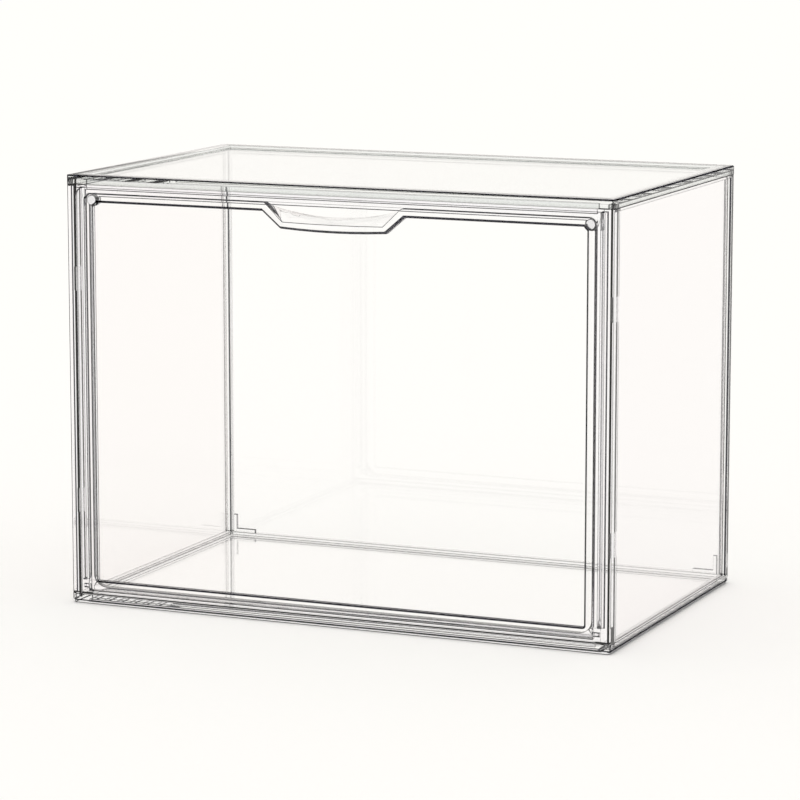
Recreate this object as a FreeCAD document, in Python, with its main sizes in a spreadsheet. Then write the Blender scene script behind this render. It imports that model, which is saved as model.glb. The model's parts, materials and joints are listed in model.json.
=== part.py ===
import FreeCAD, Part
import os
from types import SimpleNamespace
import Sketcher

# Clear drop-front storage box: a tray base, a lid, two side panels, a back panel and a front
# frame clip together, and a door hinged along its lower edge closes on four disc magnets.
# +X is to the right, -Y is the front, +Z is up. The origin is the middle of the underside.

drivingSizes = [
    ("overall_width", 360, "outside of the lid and base, left to right"),
    ("overall_depth", 220, "outside of the lid and base, front to back"),
    ("overall_height", 270, "underside of the foot to the top of the lid"),
    ("rim_height", 6, "height of the rims of the base and the lid"),
    ("rim_width", 6.5, "width of the rims, and of the posts that stand on them"),
    ("rim_round", 1.5, "rounding of the lid's and base's upright corners"),
    ("foot_height", 2, "step of the foot below the base's rim"),
    ("foot_inset", 0.8, "step of the foot in from the base's rim"),
    ("foot_width", 8, "width of the foot's ring"),
    ("floor_thickness", 2.2, "floor plate"),
    ("lid_border", 9, "raised border around the lid's sunk field"),
    ("lid_recess", 1.4, "depth of the lid's sunk field"),
    ("lid_thickness", 2.2, "plate of the lid"),
    ("pane_thickness", 2.2, "side and back walls"),
    ("pane_inset", 2, "walls in from the outside of the rims"),
    ("groove_depth", 3, "depth of the rim grooves that the walls stand in"),
    ("seat_play", 0.05, "side play of a wall, tongue, peg or disc in its seat"),
    ("post_inset", 0.2, "faces of the posts in from the outside of the rims"),
    ("post_round", 1.2, "rounding of the posts' outer corners"),
    ("post_groove", 1.5, "depth of the upright grooves that hold the side walls"),
    ("bead_height", 1.6, "shoulder under the lid's rim"),
    ("inner_band", 5, "sunk band between the outer band and the door"),
    ("band_step", 1, "depth of the sunk band"),
    ("band_round", 5, "rounding of the sunk band's upper corners"),
    ("sill_height", 2.4, "bottom bar of the front frame"),
    ("frame_depth", 10, "front frame, front to back"),
    ("frame_wall", 1.9, "wall around the cored channels of the front frame"),
    ("hinge_wall", 2, "solid post above the hinge hole, below the cored channel"),
    ("tongue_inset", 1, "tongues of the front frame in from its rear face"),
    ("door_gap", 0.4, "gap around the door"),
    ("door_inset", 0.6, "door's face behind the outer band"),
    ("door_thickness", 5, "rails of the door, front to back"),
    ("door_pane", 2, "pane of the door"),
    ("side_rail", 5.7, "upright rails of the door"),
    ("top_rail", 5.4, "top rail of the door"),
    ("bottom_rail", 6.3, "bottom rail of the door"),
    ("recess_round", 1, "rounding of the corners inside the door's rails"),
    ("stop_overlap", 2, "stop behind the door's edge"),
    ("stop_gap", 0.3, "closed door in front of its stop"),
    ("stop_round", 8, "rounding of the lower corners inside the stop"),
    ("pin_radius", 1.5, "hinge stub of the door"),
    ("pin_length", 4, "hinge stub out of the door's end"),
    ("pin_play", 0.05, "radial play of the stub in its hole"),
    ("magnet_radius", 3, "disc magnets"),
    ("magnet_thickness", 2, "disc magnets"),
    ("magnet_wall", 1, "wall of the round seats of the magnets"),
    ("grip_top", 90, "width of the finger scoop at the door's top edge"),
    ("grip_bottom", 66, "width of the finger scoop at its bottom, in front"),
    ("grip_drop", 11.4, "depth of the finger scoop, in front"),
    ("grip_sag", 0.5, "dip of the middle of the scoop's front edge"),
    ("grip_rear", 83, "width of the finger scoop's rear edge"),
    ("grip_rear_drop", 2, "ends of the scoop's rear edge below the door's top"),
    ("grip_rear_sag", 5.6, "dip of the middle of the scoop's rear edge"),
    ("grip_slope", 2, "how far the rail under the scoop spreads past it on each side"),
    ("grip_rail", 4.2, "rail under the ends of the scoop"),
    ("grip_rail_sag", 1.3, "dip of the middle of the rail's lower edge"),
    ("grip_round", 3, "rounding of the lower corners of the rail under the scoop"),
    ("tab_length", 15, "snap tabs on the upright edges of the side walls"),
    ("tab_reach", 2, "how far a tab stands out of the wall's edge"),
    ("tab_thickness", 1.4, "snap tabs"),
    ("tab_spacing", 140, "distance between the two tabs of an edge"),
    ("peg_width", 2.6, "square locating pegs on the ends of the posts"),
    ("peg_length", 3, "locating pegs"),
    ("peg_offset", 2.9, "centre of a peg in from the rim's outer faces"),
    ("gusset_width", 16, "level leg of the back panel's corner ribs"),
    ("gusset_height", 12, "upright leg of the back panel's corner ribs"),
    ("gusset_leg", 2.4, "width of the legs of the corner ribs"),
    ("gusset_rib", 1.4, "how far the corner ribs stand out of the back wall"),
    ("gusset_gap", 1.5, "corner ribs in from the posts"),
]

document = FreeCAD.newDocument("DropFrontBox")
sheet = document.addObject("Spreadsheet::Sheet", "Sizes")
for row, (alias, number, note) in enumerate(drivingSizes, start=1):
    sheet.set(f"A{row}", str(number))
    sheet.setAlias(f"A{row}", alias)
    sheet.set(f"B{row}", note)
document.recompute()


class Length:
    """A length worked out from the sheet: its number, and the expression that follows the sheet."""

    def __init__(self, number, text):
        self.number = number
        self.text = text

    def __add__(self, other):
        return Length(self.number + asLength(other).number, f"({self.text} + {asLength(other).text})")

    def __sub__(self, other):
        return Length(self.number - asLength(other).number, f"({self.text} - {asLength(other).text})")

    def __mul__(self, other):
        return Length(self.number * asLength(other).number, f"({self.text} * {asLength(other).text})")

    def __truediv__(self, other):
        return Length(self.number / asLength(other).number, f"({self.text} / {asLength(other).text})")

    def __neg__(self):
        return Length(-self.number, f"(-{self.text})")


def asLength(value):
    return value if isinstance(value, Length) else Length(value, str(value))


size = SimpleNamespace(**{alias: Length(number, f"Sizes.{alias}") for alias, number, note in drivingSizes})
ground = asLength(0)
halfWidth = size.overall_width / 2
halfDepth = size.overall_depth / 2
postSide = halfWidth - size.post_inset
postRear = halfDepth - size.post_inset
bandEdge = halfWidth - size.rim_width
backPostFront = halfDepth - size.rim_width
paneOuter = halfWidth - size.pane_inset
paneInner = paneOuter - size.pane_thickness
backOuter = halfDepth - size.pane_inset
backInner = backOuter - size.pane_thickness
lidBottom = size.overall_height - size.rim_height
lidField = size.overall_height - size.lid_recess
grooveLow = size.rim_height - size.groove_depth
grooveHigh = lidBottom + size.groove_depth
beadLow = lidBottom - size.bead_height
frontFace = -halfDepth
frameRear = frontFace + size.frame_depth
frameEdge = bandEdge - size.inner_band
frameTop = lidBottom - size.inner_band
sillTop = size.rim_height + size.sill_height
doorEdge = frameEdge - size.door_gap
doorTop = frameTop - size.door_gap
doorBottom = sillTop + size.door_gap
doorFront = frontFace + size.door_inset
doorRear = doorFront + size.door_thickness
stopFront = doorRear + size.stop_gap
stopEdge = doorEdge - size.stop_overlap
stopTop = doorTop - size.stop_overlap
stopBottom = doorBottom + size.stop_overlap
tongueRear = frameRear - size.tongue_inset
tongueFront = tongueRear - size.pane_thickness
hingeY = doorFront + size.door_thickness / 2
hingeZ = doorBottom + size.door_thickness / 2
seatRadius = size.magnet_radius + size.magnet_wall
magnetX = doorEdge - seatRadius
magnetZ = doorTop - seatRadius
wallFront = frameRear - size.post_groove
wallRear = backPostFront + size.post_groove
tabMiddle = paneOuter - size.pane_thickness / 2
pegX = halfWidth - size.peg_offset
pegY = halfDepth - size.peg_offset
gripBottom = doorTop - size.grip_drop

alongY = FreeCAD.Vector(0, 1, 0)
alongZ = FreeCAD.Vector(0, 0, 1)
planeNormals = {"XY_Plane": 1, "XZ_Plane": -1, "YZ_Plane": 1}
subParts = []
cuts = []


def link(feature, setting, length):
    feature.setExpression(setting, length.text)


def newBody(name):
    body = document.addObject("PartDesign::Body", name)
    body.Label = name
    body.Placement = FreeCAD.Placement()
    subParts.append(body)
    return body


def rectangle(lowA, highA, lowB, highB):
    return [(lowA, lowB), (highA, lowB), (highA, highB), (lowA, highB)]


def centred(halfA, halfB):
    return rectangle(-halfA, halfA, -halfB, halfB)


def bothSides(outline):
    return [outline, [(-across, up) for across, up in outline]]


def arcRadius(halfChord, sag):
    return (halfChord * halfChord + sag * sag) / (sag * 2)


def sagging(start, end, sag):
    """The arc between two places at one height whose middle hangs below them by the sag."""
    (startX, height), (endX, _) = start, end
    middle = FreeCAD.Vector((startX.number + endX.number) / 2, height.number - sag.number, 0)
    ends = [FreeCAD.Vector(across.number, up.number, 0) for across, up in (start, end)]
    halfChord = (endX - startX) / 2
    return Part.Arc(ends[0], middle, ends[1]), arcRadius(halfChord, sag)


def newSketch(body, name, plane, place, outlines, circles=(), sags=None):
    """Draws closed outlines, given by their corners, and circles on one of the body's planes.
    sags tells which side of an outline hangs as an arc, by the number of its first corner."""
    sketch = body.newObject("Sketcher::SketchObject", name)
    origin = [item for item in body.Origin.OriginFeatures if item.Role == plane][0]
    sketch.AttachmentSupport = (origin, "")
    sketch.MapMode = "FlatFace"
    link(sketch, "AttachmentOffset.Base.z", place if planeNormals[plane] > 0 else -place)

    def drive(length, *constraint):
        link(sketch, f"Constraints[{sketch.addConstraint(Sketcher.Constraint(*constraint))}]", length)

    for corners in outlines:
        sides = []
        for step, corner in enumerate(corners):
            following = corners[(step + 1) % len(corners)]
            start, end = [FreeCAD.Vector(across.number, up.number, 0) for across, up in (corner, following)]
            sag = (sags or {}).get(step)
            if sag is None:
                sides.append((sketch.addGeometry(Part.LineSegment(start, end), False), 1, 2))
                continue
            arc, radius = sagging(corner, following, sag)
            side = sketch.addGeometry(arc, False)
            forward = (sketch.getPoint(side, 1) - start).Length < (sketch.getPoint(side, 2) - start).Length
            sides.append((side, 1, 2) if forward else (side, 2, 1))
            drive(radius, "Radius", side, radius.number)
        for step, (side, first, last) in enumerate(sides):
            nextSide, nextFirst, _ = sides[(step + 1) % len(sides)]
            sketch.addConstraint(Sketcher.Constraint("Coincident", side, last, nextSide, nextFirst))
            across, up = corners[step]
            drive(across, "DistanceX", -1, 1, side, first, across.number)
            drive(up, "DistanceY", -1, 1, side, first, up.number)
    for across, up, radius in circles:
        centre = FreeCAD.Vector(across.number, up.number, 0)
        ring = sketch.addGeometry(Part.Circle(centre, FreeCAD.Vector(0, 0, 1), radius.number), False)
        drive(across, "DistanceX", -1, 1, ring, 3, across.number)
        drive(up, "DistanceY", -1, 1, ring, 3, up.number)
        drive(radius, "Radius", ring, radius.number)
    sketch.Visibility = False
    return sketch


def extrude(body, kind, name, plane, low, high, outlines=(), circles=(), sags=None):
    """Pads or pockets a sketch between two places along the plane's own axis."""
    padding = kind == "Pad"
    place = low if padding == (planeNormals[plane] > 0) else high
    feature = body.newObject(f"PartDesign::{kind}", name)
    feature.Profile = newSketch(body, f"{name}Sketch", plane, place, outlines, circles, sags)
    link(feature, "Length", high - low)
    body.Tip = feature
    if not padding:
        cuts.append(feature)
    return feature


def pad(body, name, plane, low, high, outlines=(), circles=()):
    return extrude(body, "Pad", name, plane, low, high, outlines, circles)


def pocket(body, name, plane, low, high, outlines=(), circles=(), sags=None):
    return extrude(body, "Pocket", name, plane, low, high, outlines, circles, sags)


def roundEdges(body, name, radius, chosen):
    """Fillets the edges of the body so far that the test picks out."""
    document.recompute()
    base = body.Tip
    names = [f"Edge{place}" for place, edge in enumerate(base.Shape.Edges, start=1) if chosen(edge)]
    if not names:
        raise RuntimeError(f"{name} finds no edge")
    fillet = body.newObject("PartDesign::Fillet", name)
    fillet.Base = (base, names)
    link(fillet, "Radius", radius)
    body.Tip = fillet


def near(number, length):
    return abs(number - length.number) < 1e-3


def isStraightAlong(edge, axis):
    ends = [vertex.Point for vertex in edge.Vertexes]
    return len(ends) == 2 and abs(abs((ends[1] - ends[0]).dot(axis)) - edge.Length) < 1e-6


def roundUprights(body, name, radius, side, depths):
    """Rounds the upright edges at this distance left and right, at the given depths."""

    def chosen(edge):
        middle = edge.CenterOfMass
        atDepth = any(near(middle.y, depth) for depth in depths)
        return isStraightAlong(edge, alongZ) and near(abs(middle.x), side) and atDepth

    roundEdges(body, name, radius, chosen)


def roundThrough(body, name, radius, side, height):
    """Rounds the edges that run front to back at this distance left and right, and this height."""

    def chosen(edge):
        middle = edge.CenterOfMass
        return isStraightAlong(edge, alongY) and near(abs(middle.x), side) and near(middle.z, height)

    roundEdges(body, name, radius, chosen)


def pegs(play, depths):
    """Outlines of the square pegs, or with some play, of their holes."""
    half = size.peg_width / 2 + play
    outlines = []
    for depth in depths:
        outlines += bothSides(rectangle(pegX - half, pegX + half, depth - half, depth + half))
    return outlines


def cutRimSeats(body, low, high, pegLow, pegHigh):
    """Cuts the grooves for the walls and the front frame's tongue, and the peg holes, into a rim."""
    play = size.seat_play
    side = rectangle(paneInner - play, paneOuter + play, wallFront, wallRear)
    rear = rectangle(-bandEdge, bandEdge, backInner - play, backOuter + play)
    front = rectangle(-frameEdge, frameEdge, tongueFront - play, tongueRear + play)
    pocket(body, "WallGrooves", "XY_Plane", low, high, bothSides(side) + [rear, front])
    pocket(body, "PegHoles", "XY_Plane", pegLow, pegHigh, pegs(play, (pegY, -pegY)))


def bottomPanel():
    body = newBody("bottom_panel")
    footX = halfWidth - size.foot_inset
    footY = halfDepth - size.foot_inset
    footTop = size.foot_height
    hollow = centred(footX - size.foot_width, footY - size.foot_width)
    tray = rectangle(-bandEdge, bandEdge, frameRear, backPostFront)
    pad(body, "Foot", "XY_Plane", ground, footTop, [centred(footX, footY)])
    roundUprights(body, "FootRounds", size.rim_round, footX, (footY, -footY))
    pad(body, "Rim", "XY_Plane", footTop, size.rim_height, [centred(halfWidth, halfDepth)])
    roundUprights(body, "RimRounds", size.rim_round, halfWidth, (halfDepth, -halfDepth))
    pocket(body, "UndersideHollow", "XY_Plane", ground, footTop, [hollow])
    pocket(body, "Tray", "XY_Plane", footTop + size.floor_thickness, size.rim_height, [tray])
    cutRimSeats(body, grooveLow, size.rim_height, size.rim_height - size.peg_length, size.rim_height)


def topPanel():
    body = newBody("top_panel")
    top = size.overall_height
    field = centred(halfWidth - size.lid_border, halfDepth - size.lid_border)
    underside = rectangle(-bandEdge, bandEdge, frameRear, backPostFront)
    pad(body, "Rim", "XY_Plane", lidBottom, top, [centred(halfWidth, halfDepth)])
    roundUprights(body, "RimRounds", size.rim_round, halfWidth, (halfDepth, -halfDepth))
    pocket(body, "SunkField", "XY_Plane", lidField, top, [field])
    pocket(body, "UndersideHollow", "XY_Plane", lidBottom, lidField - size.lid_thickness, [underside])
    cutRimSeats(body, lidBottom, grooveHigh, lidBottom, lidBottom + size.peg_length)


def tabZones(play):
    """Names and ends of the two snap tabs of an upright edge, with some play."""
    half = size.tab_length / 2 + play
    middle = size.overall_height / 2
    centres = (("Low", middle - size.tab_spacing / 2), ("High", middle + size.tab_spacing / 2))
    return [(level, centre - half, centre + half) for level, centre in centres]


def sidePanel(name, hand):
    """One side wall; hand is 1 for the right-hand side and -1 for the left."""
    body = newBody(name)
    halfTab = size.tab_thickness / 2

    def panelPiece(low, high, front, rear):
        outline = rectangle(low, high, front, rear)
        return bothSides(outline)[0 if hand > 0 else 1]

    wall = panelPiece(paneInner, paneOuter, wallFront, wallRear)
    bead = panelPiece(paneOuter, postSide, frameRear, backPostFront)
    frontTab = panelPiece(tabMiddle - halfTab, tabMiddle + halfTab, wallFront - size.tab_reach, wallFront)
    rearTab = panelPiece(tabMiddle - halfTab, tabMiddle + halfTab, wallRear, wallRear + size.tab_reach)
    pad(body, "Wall", "XY_Plane", grooveLow, grooveHigh, [wall])
    pad(body, "Bead", "XY_Plane", beadLow, lidBottom, [bead])
    for level, low, high in tabZones(ground):
        pad(body, f"{level}Tabs", "XY_Plane", low, high, [frontTab, rearTab])


def cutPostSeats(body, inward):
    """Cuts the upright grooves for the side walls, and their tabs' slots, into two posts.
    inward is 1 where the grooves open forward, in the rear posts, and -1 in the front posts."""
    play = size.seat_play
    mouth, end = (backPostFront, wallRear) if inward > 0 else (frameRear, wallFront)
    slotEnd = end + (size.tab_reach + play) * inward
    halfTab = size.tab_thickness / 2 + play
    groove = rectangle(paneInner - play, paneOuter + play, mouth, end)
    slot = rectangle(tabMiddle - halfTab, tabMiddle + halfTab, end, slotEnd)
    pocket(body, "WallSeats", "XY_Plane", size.rim_height, lidBottom, bothSides(groove))
    for level, low, high in tabZones(play):
        pocket(body, f"{level}Slots", "XY_Plane", low, high, bothSides(slot))


def addPegs(body, depth):
    low, high = size.rim_height - size.peg_length, lidBottom + size.peg_length
    pad(body, "LowerPegs", "XY_Plane", low, size.rim_height, pegs(ground, (depth,)))
    pad(body, "UpperPegs", "XY_Plane", lidBottom, high, pegs(ground, (depth,)))


def backPanel():
    body = newBody("back_panel")
    post = rectangle(bandEdge, postSide, backPostFront, postRear)
    wall = rectangle(-bandEdge, bandEdge, backInner, backOuter)
    bead = rectangle(-bandEdge, bandEdge, backOuter, postRear)
    pad(body, "Wall", "XY_Plane", grooveLow, grooveHigh, [wall])
    pad(body, "Posts", "XY_Plane", size.rim_height, lidBottom, bothSides(post))
    pad(body, "Bead", "XY_Plane", beadLow, lidBottom, [bead])
    roundUprights(body, "CornerRounds", size.post_round, postSide, (postRear,))
    cutPostSeats(body, 1)
    addPegs(body, pegY)
    outer = bandEdge - size.gusset_gap
    inner = outer - size.gusset_width
    foot = size.rim_height
    head = foot + size.gusset_height
    upright = outer - size.gusset_leg
    level = foot + size.gusset_leg
    rib = [(outer, foot), (outer, head), (upright, head), (upright, level), (inner, level), (inner, foot)]
    pad(body, "CornerRibs", "XZ_Plane", backInner - size.gusset_rib, backInner, bothSides(rib))


def magnetSeats(radius):
    return [(magnetX, magnetZ, radius), (-magnetX, magnetZ, radius)]


def cutMagnetHoles(body, rear):
    holes = magnetSeats(size.magnet_radius + size.seat_play)
    pocket(body, "MagnetHoles", "XZ_Plane", rear - size.magnet_thickness, rear, circles=holes)


def frontFrame():
    body = newBody("front_frame")
    block = rectangle(-postSide, postSide, size.rim_height, lidBottom)
    opening = rectangle(-frameEdge, frameEdge, sillTop, frameTop)
    through = rectangle(-stopEdge, stopEdge, stopBottom, stopTop)
    band = rectangle(-bandEdge, bandEdge, size.rim_height, beadLow)
    bead = rectangle(-bandEdge, bandEdge, beadLow, lidBottom)
    bandRear = frontFace + size.band_step
    pad(body, "Block", "XZ_Plane", frontFace, frameRear, [block])
    pocket(body, "SunkBand", "XZ_Plane", frontFace, bandRear, [band])
    roundThrough(body, "BandRounds", size.band_round, bandEdge, beadLow)
    pocket(body, "SunkBead", "XZ_Plane", frontFace, frontFace + size.post_inset, [bead])
    pocket(body, "DoorOpening", "XZ_Plane", frontFace, stopFront, [opening])
    roundThrough(body, "OpeningRounds", seatRadius + size.door_gap, frameEdge, frameTop)
    pocket(body, "StopOpening", "XZ_Plane", stopFront, frameRear, [through])
    roundThrough(body, "StopRounds", size.stop_round, stopEdge, stopBottom)
    pad(body, "MagnetSeats", "XZ_Plane", stopFront, frameRear, circles=magnetSeats(seatRadius))
    cutMagnetHoles(body, frameRear)
    roundUprights(body, "CornerRounds", size.post_round, postSide, (frontFace,))
    cutPostSeats(body, -1)
    coreFront = bandRear + size.frame_wall
    coreSide = bandEdge + size.seat_play
    postCore = rectangle(frameEdge + size.frame_wall, coreSide, coreFront, frameRear)
    coreLow = hingeZ + size.pin_radius + size.pin_play + size.hinge_wall
    pocket(body, "PostCores", "XY_Plane", coreLow, lidBottom - size.frame_wall, bothSides(postCore))
    barCore = rectangle(-frameEdge, frameEdge, coreFront, tongueFront - size.frame_wall / 2)
    pocket(body, "BarCore", "XY_Plane", frameTop + size.frame_wall, lidBottom, [barCore])
    tongue = rectangle(-frameEdge, frameEdge, tongueFront, tongueRear)
    pad(body, "LowerTongue", "XY_Plane", grooveLow, size.rim_height, [tongue])
    pad(body, "UpperTongue", "XY_Plane", lidBottom, grooveHigh, [tongue])
    addPegs(body, -pegY)
    hole = [(hingeY, hingeZ, size.pin_radius + size.pin_play)]
    holeEnd = doorEdge + size.pin_length + size.door_gap
    pocket(body, "RightHingeHole", "YZ_Plane", frameEdge, holeEnd, circles=hole)
    pocket(body, "LeftHingeHole", "YZ_Plane", -holeEnd, -frameEdge, circles=hole)


def cutFingerScoop(body):
    """Cuts the scoop through the door's top rail: its floor rises from a nearly straight front
    edge to a bowed rear edge."""
    halfTop, halfBottom, halfRear = size.grip_top / 2, size.grip_bottom / 2, size.grip_rear / 2
    rearEnd = doorTop - size.grip_rear_drop
    front = [(-halfTop, doorTop), (-halfBottom, gripBottom), (halfBottom, gripBottom), (halfTop, doorTop)]
    rear = [(-halfTop, doorTop), (-halfRear, rearEnd), (halfRear, rearEnd), (halfTop, doorTop)]
    scoop = body.newObject("PartDesign::SubtractiveLoft", "FingerScoop")
    scoop.Profile = newSketch(body, "ScoopFront", "XZ_Plane", doorFront, [front], sags={1: size.grip_sag})
    rearSketch = newSketch(body, "ScoopRear", "XZ_Plane", doorRear, [rear], sags={1: size.grip_rear_sag})
    scoop.Sections = [rearSketch]
    scoop.Ruled = True
    body.Tip = scoop
    cuts.append(scoop)


def doorPanel():
    body = newBody("door")
    slab = rectangle(-doorEdge, doorEdge, hingeZ, doorTop)
    pad(body, "Slab", "XZ_Plane", doorFront, doorRear, [slab])
    knuckle = [(hingeY, hingeZ, size.door_thickness / 2)]
    pad(body, "RoundedFoot", "YZ_Plane", -doorEdge, doorEdge, circles=knuckle)
    roundThrough(body, "CornerRounds", seatRadius, doorEdge, doorTop)
    innerX = doorEdge - size.side_rail
    innerLow = doorBottom + size.bottom_rail
    innerHigh = doorTop - size.top_rail
    wide = size.grip_top / 2 + size.grip_slope
    narrow = size.grip_bottom / 2 + size.grip_slope
    dip = gripBottom - size.grip_rail
    recess = [
        (-innerX, innerLow), (innerX, innerLow), (innerX, innerHigh), (wide, innerHigh),
        (narrow, dip), (-narrow, dip), (-wide, innerHigh), (-innerX, innerHigh),
    ]
    paneFront = doorRear - size.door_pane
    pocket(body, "Recess", "XZ_Plane", doorFront, paneFront, [recess], sags={4: size.grip_rail_sag})
    roundThrough(body, "DipRounds", size.grip_round, narrow, dip)
    roundThrough(body, "UpperRecessRounds", size.recess_round, innerX, innerHigh)
    roundThrough(body, "LowerRecessRounds", size.recess_round, innerX, innerLow)
    cutFingerScoop(body)
    pad(body, "MagnetSeats", "XZ_Plane", doorFront, doorRear, circles=magnetSeats(seatRadius))
    cutMagnetHoles(body, doorRear)
    pin = [(hingeY, hingeZ, size.pin_radius)]
    pinEnd = doorEdge + size.pin_length
    pad(body, "RightPin", "YZ_Plane", doorEdge, pinEnd, circles=pin)
    pad(body, "LeftPin", "YZ_Plane", -pinEnd, -doorEdge, circles=pin)


def magnet(name, across, rear):
    """A disc magnet seated in a hole that opens at the rear face of its part."""
    disc = document.addObject("Part::Cylinder", name)
    disc.Label = name
    link(disc, "Radius", size.magnet_radius)
    link(disc, "Height", size.magnet_thickness)
    disc.Placement.Rotation = FreeCAD.Rotation(FreeCAD.Vector(1, 0, 0), -90)
    link(disc, "Placement.Base.x", across)
    link(disc, "Placement.Base.y", rear - size.magnet_thickness)
    link(disc, "Placement.Base.z", magnetZ)
    subParts.append(disc)


bottomPanel()
topPanel()
sidePanel("left_side_panel", -1)
sidePanel("right_side_panel", 1)
backPanel()
frontFrame()
doorPanel()
for sideName, across in (("left", -magnetX), ("right", magnetX)):
    magnet(f"door_magnet_{sideName}", across, doorRear)
    magnet(f"frame_magnet_{sideName}", across, frameRear)
document.recompute()

for item in document.Objects:
    if "Invalid" in item.State or "Error" in item.State:
        raise RuntimeError(f"{item.Label} failed: {item.State}")
leastCut = 0.1
for cut in cuts:
    if cut.Shape.Volume > cut.BaseFeature.Shape.Volume - leastCut:
        raise RuntimeError(f"{cut.Label} removes nothing")
for part in subParts:
    shape = part.Shape
    if shape.isNull() or not shape.isValid() or len(shape.Solids) != 1:
        raise RuntimeError(f"{part.Label} is not one valid solid")

os.makedirs("parts", exist_ok=True)
for part in subParts:
    part.Shape.exportStep(os.path.join("parts", f"{part.Label}.step"))
    box = part.Shape.BoundBox
    extent = [round(side, 2) for side in (box.XLength, box.YLength, box.ZLength)]
    print(f"{part.Label}: {round(part.Shape.Volume)} cubic mm, {extent} mm")
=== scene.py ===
import json
import math

import bmesh
import bpy
from mathutils import Matrix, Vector
from mathutils.bvhtree import BVHTree

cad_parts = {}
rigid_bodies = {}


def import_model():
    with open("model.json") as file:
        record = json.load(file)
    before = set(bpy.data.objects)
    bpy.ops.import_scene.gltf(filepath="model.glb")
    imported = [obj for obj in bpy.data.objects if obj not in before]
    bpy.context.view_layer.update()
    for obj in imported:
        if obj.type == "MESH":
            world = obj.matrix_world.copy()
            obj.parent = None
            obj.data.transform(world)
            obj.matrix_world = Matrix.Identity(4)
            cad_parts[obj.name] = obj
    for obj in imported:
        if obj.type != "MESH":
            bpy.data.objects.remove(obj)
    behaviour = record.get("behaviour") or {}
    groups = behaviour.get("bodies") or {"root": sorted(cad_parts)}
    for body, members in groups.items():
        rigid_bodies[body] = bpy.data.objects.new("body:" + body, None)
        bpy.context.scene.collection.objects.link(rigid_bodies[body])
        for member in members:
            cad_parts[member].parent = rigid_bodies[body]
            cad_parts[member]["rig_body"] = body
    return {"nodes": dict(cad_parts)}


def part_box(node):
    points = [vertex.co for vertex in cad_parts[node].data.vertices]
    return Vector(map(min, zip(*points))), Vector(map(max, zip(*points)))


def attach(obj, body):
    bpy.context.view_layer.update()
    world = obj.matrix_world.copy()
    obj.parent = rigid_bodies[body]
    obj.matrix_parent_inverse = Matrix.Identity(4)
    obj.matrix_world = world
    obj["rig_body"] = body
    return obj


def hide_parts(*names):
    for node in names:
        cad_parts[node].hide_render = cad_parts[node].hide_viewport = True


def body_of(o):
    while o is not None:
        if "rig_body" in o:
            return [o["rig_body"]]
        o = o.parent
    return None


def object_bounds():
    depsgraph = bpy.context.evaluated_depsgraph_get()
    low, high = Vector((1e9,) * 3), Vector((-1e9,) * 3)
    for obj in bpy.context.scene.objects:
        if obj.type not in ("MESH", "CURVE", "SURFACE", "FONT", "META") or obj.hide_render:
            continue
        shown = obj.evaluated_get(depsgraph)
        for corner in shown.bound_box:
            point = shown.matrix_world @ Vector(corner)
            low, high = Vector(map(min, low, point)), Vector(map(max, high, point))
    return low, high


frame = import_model()
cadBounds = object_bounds()
nodes = frame["nodes"]
print("frame loaded:", ", ".join(sorted(nodes)))

mm = 0.001


class Value:  # a shader socket that takes part in arithmetic
    def __init__(self, shader, socket):
        self.shader = shader
        self.socket = socket

    def combine(self, operation, first, second):
        return self.shader.node("ShaderNodeMath", {"operation": operation}, {0: first, 1: second})

    def __add__(self, other):
        return self.combine("ADD", self, other)

    def __radd__(self, other):
        return self.combine("ADD", other, self)

    def __mul__(self, other):
        return self.combine("MULTIPLY", self, other)

    def __rmul__(self, other):
        return self.combine("MULTIPLY", other, self)


class Shader:  # one material, built up node by node
    def __init__(self, name):
        self.material = bpy.data.materials.new(name)
        self.material.use_nodes = True
        self.tree = self.material.node_tree
        self.tree.nodes.clear()

    def node(self, kind, settings=None, inputs=None, output=0):
        made = self.tree.nodes.new(kind)
        for setting, value in (settings or {}).items():
            setattr(made, setting, value)
        for socket, value in (inputs or {}).items():
            if isinstance(value, Value):
                self.tree.links.new(value.socket, made.inputs[socket])
            else:
                made.inputs[socket].default_value = value
        return Value(self, made.outputs[output]) if len(made.outputs) else made

    def noise(self, scale, detail):
        place = self.node("ShaderNodeTexCoord", output="Object")
        return self.node("ShaderNodeTexNoise", {}, {"Vector": place, "Scale": scale, "Detail": detail})

    def bump(self, height, distance):
        return self.node("ShaderNodeBump", {}, {"Height": height, "Strength": 1.0, "Distance": distance})

    def finish(self, surface):
        self.node("ShaderNodeOutputMaterial", {}, {"Surface": surface})
        return self.material


# clear polystyrene: polished, faintly rippled by the mould, and it lets light through to what it shuts in
plastic = {
    "ior": 1.49,
    "swellScale": 9.0,
    "swellDetail": 1.0,
    "swell": 0.02 * mm,
    "grainScale": 900.0,
    "grainDetail": 2.0,
    "grainRoughness": 0.012,
    "shadowTint": 0.998,
    # one clear plastic given a different tint per piece, the lid darkest: painted shade and painted
    # colour of the light, not a dye
    "paintedShadeTints": {
        "bottom_panel": (1.0, 1.0, 1.0),
        "top_panel": (0.900, 0.915, 0.905),
        "left_side_panel": (0.980, 0.961, 0.960),
        "right_side_panel": (0.974, 0.957, 0.963),
        "back_panel": (1.0, 1.0, 1.0),
        "front_frame": (0.985, 0.982, 0.995),
        "door": (1.0, 1.0, 1.0),
    },
}


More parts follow.
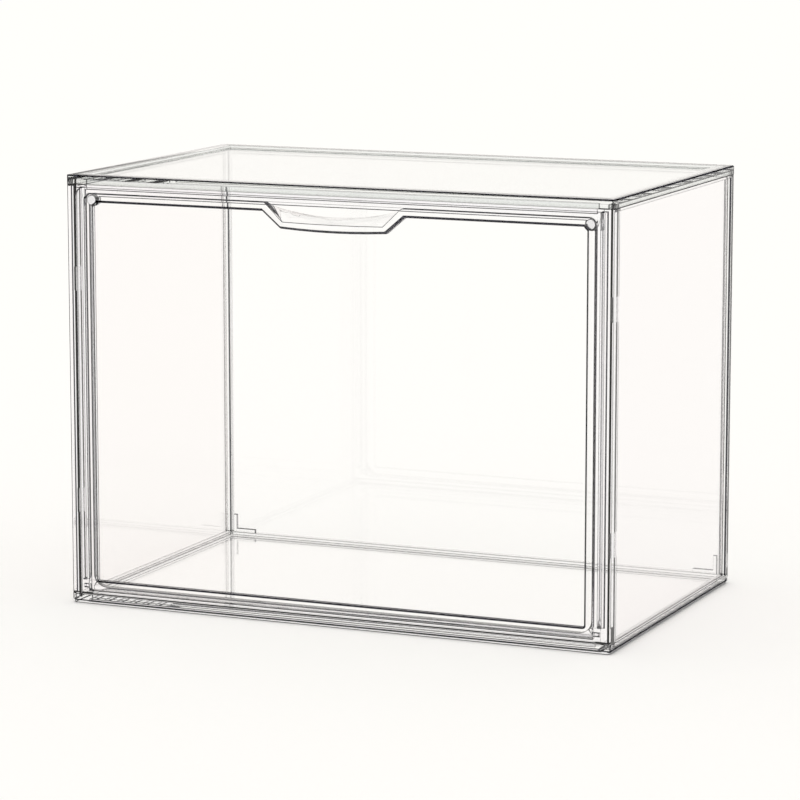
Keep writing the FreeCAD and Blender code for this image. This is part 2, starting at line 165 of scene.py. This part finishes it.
def clearPlastic(name, pieceShadeTint):
    shader = Shader(name)
    swell = shader.noise(plastic["swellScale"], plastic["swellDetail"])
    grain = shader.noise(plastic["grainScale"], plastic["grainDetail"])
    # the body colour and the colour let through are the piece's painted shade tint
    body = shader.node("ShaderNodeBsdfPrincipled", {}, {
        "Base Color": (*pieceShadeTint, 1),
        "Roughness": grain * plastic["grainRoughness"],
        "IOR": plastic["ior"],
        "Transmission Weight": 1.0,
        "Normal": shader.bump(swell, plastic["swell"]),
    })
    shade = [channel * plastic["shadowTint"] for channel in pieceShadeTint]
    through = shader.node("ShaderNodeBsdfTransparent", {}, {"Color": (*shade, 1)})
    scattered = shader.node("ShaderNodeLightPath", output="Is Diffuse Ray")
    shadow = shader.node("ShaderNodeLightPath", output="Is Shadow Ray")
    inner = shader.node("ShaderNodeMixShader", {}, {0: scattered, 1: body, 2: through})
    return shader.finish(shader.node("ShaderNodeMixShader", {}, {0: shadow, 1: inner, 2: through}))


# the narrow flat along a moulded edge, painted dark: painted shade that stands in for the light the edge
# turns away, so it reads as a dark line
paintedEdgeShade = {"color": (0.03, 0.03, 0.04), "share": 0.95}


def paintedEdgeShadeMaterial(name):
    shader = Shader(name)
    body = shader.node("ShaderNodeBsdfPrincipled", {}, {
        "Base Color": (1, 1, 1, 1),
        "Roughness": 0.0,
        "IOR": plastic["ior"],
        "Transmission Weight": 1.0,
    })
    paintedDarkShade = shader.node("ShaderNodeBsdfTransparent", {}, {"Color": (*paintedEdgeShade["color"], 1)})
    return shader.finish(shader.node("ShaderNodeMixShader", {}, {0: paintedEdgeShade["share"], 1: body, 2: paintedDarkShade}))


# which edges get a flat, and how wide, from those that hardly show to those that draw the box; the flats
# carry the painted shade, wider on the right and front than on the left, so one side reads darker
edges = {
    "sharp": math.radians(35),
    "shallow": math.radians(20),  # round the finger scoop
    "flat": math.radians(0.5),
    "merge": 0.001 * mm,
    "contact": 0.3 * mm,
    "widest": 1.6 * mm,
}
lines = {
    "none": 0.0,
    "faint": 0.10 * mm,
    "fine": 0.22 * mm,
    "crisp": 0.50 * mm,
    "strong": 0.90 * mm,
    "bold": 1.60 * mm,
}
margins = {"rail": 4 * mm, "corner": 2 * mm, "hair": 0.1 * mm}
handle = {"half": 45 * mm, "deep": 13.5 * mm, "slope": 0.95, "rail": 3.5 * mm, "outline": 60 * mm}
paintedShadeFaces = {"facing": 0.5, "level": 0.9, "cornerFacing": 0.3, "upright": 0.1}

caseHigh = cadBounds[1]
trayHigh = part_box("bottom_panel")[1].z
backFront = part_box("back_panel")[0].y
doorLow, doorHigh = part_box("door")
doorMiddle = (doorLow + doorHigh) / 2


def blend(upright, level, share):  # one width runs into the next round a corner
    return upright + (level - upright) * share


def lidLine(point, buried, share):
    across, deep = abs(point.x), abs(point.y)
    right, front = point.x > 0, point.y < 0
    if point.z > caseHigh.z - margins["hair"]:
        sunk = across < caseHigh.x - margins["rail"] and deep < caseHigh.y - margins["hair"]
        if sunk:  # round the sunk field
            return lines["faint"]
        return blend(lines["strong" if right else "fine"], lines["strong" if front else "fine"], share)
    if across > caseHigh.x - margins["corner"] or deep > caseHigh.y - margins["corner"]:
        return blend(lines["crisp" if right else "faint"], lines["faint"], share)
    return lines["none"] if buried else lines["faint"]


def baseLine(point, buried, share):
    if point.z < trayHigh / 2:  # the foot and the rim's lower edge
        return blend(lines["strong" if point.x > 0 else "crisp"], lines["crisp"], share)
    return lines["none"] if buried else lines["fine"]


def frameLine(point, buried, share):
    if buried:
        return lines["none"]
    besideDoor = doorLow.z + margins["rail"] < point.z < doorHigh.z - margins["rail"]
    return lines["crisp"] if point.y > doorHigh.y and besideDoor else lines["fine"]


def isScoop(point):
    drop = doorHigh.z - point.z
    slant = handle["rail"] + handle["slope"] * (handle["half"] - abs(point.x))
    return drop < min(handle["deep"], slant)


def isRecess(point):
    inside = abs(point.x) < doorHigh.x - margins["rail"]
    between = doorLow.z + margins["rail"] < point.z < doorHigh.z - margins["rail"]
    return inside and between and not isScoop(point)


def doorLine(point, buried, share):
    if point.y > doorLow.y + margins["hair"] or not isRecess(point):
        return lines["fine"]
    upright = lines["bold" if point.x > 0 else "fine"]
    if point.z < doorMiddle.z:
        return blend(upright, lines["strong"], share)
    return lines["bold"] if abs(point.x) < handle["outline"] else blend(upright, lines["bold"], share)


def backLine(point, buried, share):
    if buried:
        return lines["none"]
    return lines["strong"] if point.y < backFront + margins["hair"] else lines["fine"]


def wallLine(point, buried, share):
    return lines["none"] if buried else lines["fine"]


lineChoices = {
    "top_panel": lidLine,
    "bottom_panel": baseLine,
    "front_frame": frameLine,
    "door": doorLine,
    "back_panel": backLine,
    "left_side_panel": wallLine,
    "right_side_panel": wallLine,
}


# the recess walls that face left and down in the door, and the rounded front left corner of the case, get
# the dark edge material: painted shade on these faces
def isPaintedShadeFace(nodeName, face):
    middle = face.calc_center_median()
    normal = face.normal
    if nodeName == "door":
        turned = normal.x < -paintedShadeFaces["facing"] or normal.z < -paintedShadeFaces["level"]
        return turned and isRecess(middle) and middle.y < doorHigh.y - margins["hair"]
    cornerRound = max(normal.x, normal.y) < -paintedShadeFaces["cornerFacing"] and abs(normal.z) < paintedShadeFaces["upright"]
    return cornerRound and all(middle[axis] < margins["corner"] - caseHigh[axis] for axis in (0, 1))


def mergedShell(nodeName):
    shell = bmesh.new()
    shell.from_mesh(nodes[nodeName].data)
    bmesh.ops.remove_doubles(shell, verts=shell.verts, dist=edges["merge"])
    bmesh.ops.dissolve_limit(shell, angle_limit=edges["flat"], verts=shell.verts, edges=shell.edges)
    bmesh.ops.connect_verts_concave(shell, faces=shell.faces)
    return shell


shells = {nodeName: mergedShell(nodeName) for nodeName in plastic["paintedShadeTints"]}
trees = {nodeName: BVHTree.FromBMesh(shell) for nodeName, shell in shells.items()}
print("shells merged:", len(shells))


def isBuried(nodeName, point):  # touching another piece
    others = [tree for other, tree in trees.items() if other != nodeName]
    return any(tree.find_nearest(point, edges["contact"])[0] is not None for tree in others)


def edgeWidth(nodeName, edge):
    first, second = edge.verts[0].co, edge.verts[1].co
    middle = (first + second) / 2
    limit = edges["shallow" if nodeName == "door" and isScoop(middle) else "sharp"]
    if len(edge.link_faces) != 2 or edge.calc_face_angle(0) <= limit:
        return lines["none"]
    share = (second - first).normalized().x ** 2
    return lineChoices[nodeName](middle, isBuried(nodeName, middle), share)


def addPiece(nodeName, mesh):
    piece = bpy.data.objects.new(mesh.name, mesh)
    bpy.context.scene.collection.objects.link(piece)
    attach(piece, body_of(nodes[nodeName])[0])
    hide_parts(nodeName)
    return piece


def polishedCopy(nodeName, pieceShadeTint):
    shell = shells[nodeName]
    weights = shell.edges.layers.float.new("bevel_weight_edge")
    for edge in shell.edges:
        edge[weights] = edgeWidth(nodeName, edge) / edges["widest"]
    shell.normal_update()
    for face in shell.faces:
        # faces picked by the way they face get the painted shade material
        face.material_index = 1 if isPaintedShadeFace(nodeName, face) else 0
    mesh = bpy.data.meshes.new(nodeName + "_clear")
    shell.to_mesh(mesh)
    mesh.materials.append(clearPlastic(nodeName + "Clear", pieceShadeTint))
    # material 1 is the painted shade on the edge flats and the shade faces
    mesh.materials.append(paintedShadeFlat)
    bevel = addPiece(nodeName, mesh).modifiers.new("edges", "BEVEL")
    bevel.limit_method = "WEIGHT"
    bevel.width = edges["widest"]
    bevel.segments = 1
    bevel.material = 1
    bevel.use_clamp_overlap = False
    bevel.loop_slide = False  # keeps the flats even round the corners


# the dark edge material: painted shade, not the plastic's own colour
paintedShadeFlat = paintedEdgeShadeMaterial("clearEdgePaintedShade")
for nodeName, pieceShadeTint in plastic["paintedShadeTints"].items():
    polishedCopy(nodeName, pieceShadeTint)
for shell in shells.values():
    shell.free()
print("clear pieces polished:", len(shells))

# bright nickel discs, turned a hair smaller than their seats so that the plastic keeps its own face
magnet = {
    "color": (0.86, 0.86, 0.88),
    "roughness": 0.14,
    "wear": 0.10,
    "grain": 2200.0,
    "grainDetail": 3.0,
    "pitting": 0.002 * mm,
    "play": 0.06 * mm,
    "round": 0.25 * mm,
    "roundSteps": 3,
    "facets": 64,
}


def nickelFinish(name):
    shader = Shader(name)
    grain = shader.noise(magnet["grain"], magnet["grainDetail"])
    body = shader.node("ShaderNodeBsdfPrincipled", {}, {
        "Base Color": (*magnet["color"], 1),
        "Roughness": magnet["roughness"] + magnet["wear"] * grain,
        "Metallic": 1.0,
        "Normal": shader.bump(grain, magnet["pitting"]),
    })
    return shader.finish(body)


def magnetDisc(nodeName, finish):
    low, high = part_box(nodeName)
    radius = (high.x - low.x) / 2 - magnet["play"]
    height = high.y - low.y - 2 * magnet["play"]
    disc = bmesh.new()
    bmesh.ops.create_cone(
        disc, cap_ends=True, segments=magnet["facets"], radius1=radius, radius2=radius, depth=height)
    rims = [edge for edge in disc.edges if edge.calc_face_angle(0) > edges["sharp"]]
    bmesh.ops.bevel(
        disc, geom=rims, offset=magnet["round"], affect="EDGES",
        segments=magnet["roundSteps"], profile=0.5, material=-1)
    bmesh.ops.rotate(disc, verts=disc.verts, matrix=Matrix.Rotation(math.radians(90), 3, "X"))
    bmesh.ops.translate(disc, verts=disc.verts, vec=(low + high) / 2)
    mesh = bpy.data.meshes.new(nodeName + "_disc")
    disc.to_mesh(mesh)
    disc.free()
    mesh.materials.append(finish)
    addPiece(nodeName, mesh)


nickel = nickelFinish("nickel")
for nodeName in nodes:
    if "magnet" in nodeName:
        magnetDisc(nodeName, nickel)
print("magnets seated")

# an even white surround and a pale floor
studio = {
    "sky": (1.0, 0.976, 0.945),
    "strength": 1.03,
    "floor": (0.985, 0.994, 0.995),
    "floorSize": 20.0,
    "lightBounces": 64,
}
scene = bpy.context.scene
world = bpy.data.worlds.new("studio")
scene.world = world
world.use_nodes = True
sky = world.node_tree.nodes["Background"]
sky.inputs["Color"].default_value = (*studio["sky"], 1)
sky.inputs["Strength"].default_value = studio["strength"]
scene.view_settings.view_transform = "Standard"

floorShape = bmesh.new()
bmesh.ops.create_grid(floorShape, x_segments=1, y_segments=1, size=studio["floorSize"])
floorMesh = bpy.data.meshes.new("floor")
floorShape.to_mesh(floorMesh)
floorShape.free()
floorPaint = Shader("floorPaint")
matt = floorPaint.node("ShaderNodeBsdfDiffuse", {}, {"Color": (*studio["floor"], 1)})
floorMesh.materials.append(floorPaint.finish(matt))
floor = bpy.data.objects.new("floor", floorMesh)
scene.collection.objects.link(floor)
print("studio lit")

cameraLook = {
    "place": (0.8872, -2.0449, 0.4947),
    "down": 9.439,
    "turn": 23.53,
    "lens": 160.98,
    "sensor": 36.0,
}
cameraData = bpy.data.cameras.new("camera")
cameraData.lens = cameraLook["lens"]
cameraData.sensor_width = cameraLook["sensor"]
camera = bpy.data.objects.new("camera", cameraData)
camera.location = cameraLook["place"]
camera.rotation_euler = (math.radians(90 - cameraLook["down"]), 0, math.radians(cameraLook["turn"]))
scene.collection.objects.link(camera)
scene.camera = camera
scene.cycles.max_bounces = studio["lightBounces"]
scene.cycles.glossy_bounces = studio["lightBounces"]
scene.cycles.transmission_bounces = studio["lightBounces"]
scene.cycles.transparent_max_bounces = studio["lightBounces"]
print("camera set")
